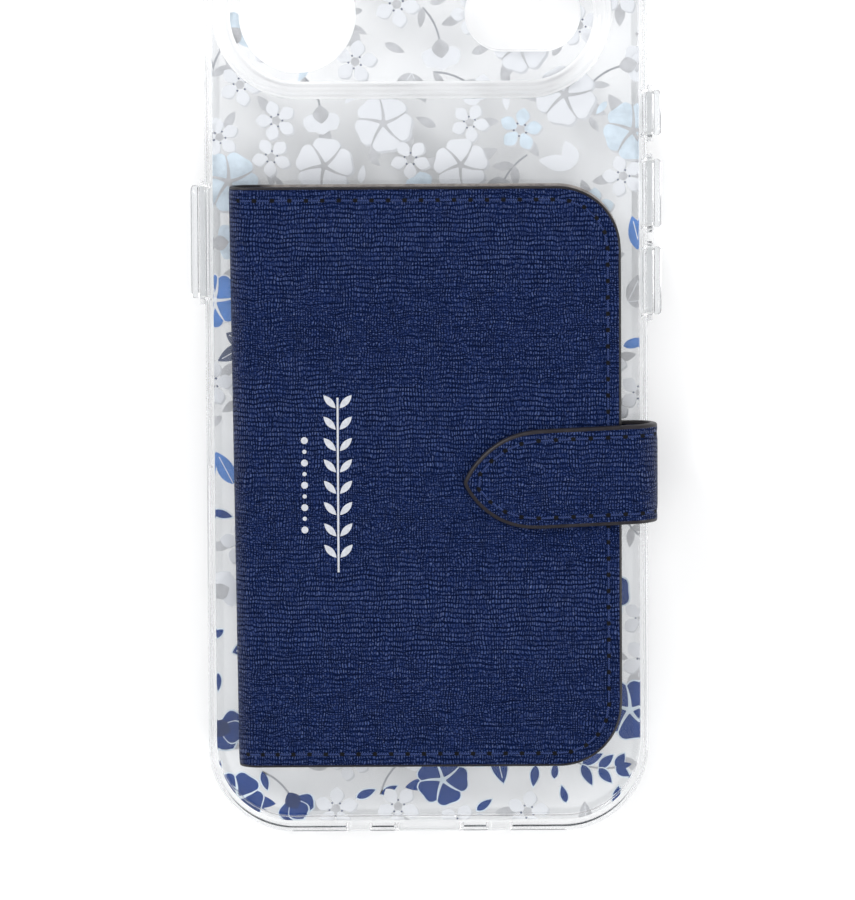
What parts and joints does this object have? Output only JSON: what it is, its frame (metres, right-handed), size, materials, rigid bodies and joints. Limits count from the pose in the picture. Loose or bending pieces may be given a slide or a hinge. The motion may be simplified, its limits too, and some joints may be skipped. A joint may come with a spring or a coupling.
{
  "type": "phone wallet case",
  "caption": "Clear protective phone case with a printed floral back and a magnetic leather folio card wallet on it, closed by a pointed wrap-over strap.",
  "frame": {"origin": "Centre of the footprint, on the surface that the case's screen lip lies on.", "axes": "+Z out of the back of the case through the wallet, +Y along the case towards the camera end, +X towards the strap and the volume buttons."},
  "size_m": [0.082, 0.1596, 0.0174],
  "materials": {
    "clear_hard": "clear moulded hard plastic, polished",
    "clear_soft": "clear soft moulded plastic, glossy",
    "print_film": "thin clear film printed with flowers and leaves in blue, white and grey",
    "magnet": "nickel-plated magnet",
    "leather": "navy leather pressed with a fine cross-hatched grain, dark painted edges",
    "lining": "fine woven navy lining",
    "board": "grey-brown fibre board",
    "steel": "thin rolled steel"
  },
  "bodies": {
    "case": {"case_back_plate": "clear_hard", "case_bumper": "clear_soft", "case_print_film": "print_film", "case_magnet_ring": "magnet", "case_magnet_bar": "magnet"},
    "side_button": {"side_button": "clear_soft"},
    "action_button": {"action_button": "clear_soft"},
    "volume_up_button": {"volume_up_button": "clear_soft"},
    "volume_down_button": {"volume_down_button": "clear_soft"},
    "wallet_base": {"wallet_back_leather": "leather", "wallet_magnet_carrier": "board", "wallet_magnet_ring": "magnet", "wallet_magnet_bar": "magnet", "wallet_shield_plate": "steel", "wallet_base_lining": "lining", "card_pocket_back": "leather", "card_pocket_middle": "leather", "card_pocket_front": "leather", "strap_root_leather": "leather", "strap_root_lining": "leather"},
    "cover": {"cover_leather": "leather", "cover_board": "board", "cover_snap_plate": "steel", "cover_lining": "lining", "cover_slip_pocket": "leather"},
    "strap": {"strap_flap_leather": "leather", "strap_flap_lining": "leather", "strap_snap_magnet": "magnet"}
  },
  "joints": [
    {"name": "side_button_press", "type": "slide", "parent": "case", "child": "side_button", "axis": [1, 0, 0], "range_m": [0, 0.0004], "stiffness_N_per_m": 4000},
    {"name": "action_button_press", "type": "slide", "parent": "case", "child": "action_button", "axis": [-1, 0, 0], "range_m": [0, 0.0004], "stiffness_N_per_m": 4000},
    {"name": "volume_up_press", "type": "slide", "parent": "case", "child": "volume_up_button", "axis": [-1, 0, 0], "range_m": [0, 0.0004], "stiffness_N_per_m": 4000},
    {"name": "volume_down_press", "type": "slide", "parent": "case", "child": "volume_down_button", "axis": [-1, 0, 0], "range_m": [0, 0.0004], "stiffness_N_per_m": 4000},
    {"name": "wallet_pull_off", "type": "slide", "parent": "case", "child": "wallet_base", "axis": [0, 0, 1], "range_m": [0, 0.03]},
    {"name": "cover_open", "type": "hinge", "parent": "wallet_base", "child": "cover", "pos_m": [-0.0336, -0.01655, 0.01235], "axis": [0, -1, 0], "range_deg": [0, 175], "deforming": ["strap_flap_leather", "strap_flap_lining", "strap_snap_magnet"]},
    {"name": "strap_open", "type": "hinge", "parent": "wallet_base", "child": "strap", "pos_m": [0.04, -0.0166, 0.01358], "axis": [0, 1, 0], "range_deg": [0, 170]}
  ]
}
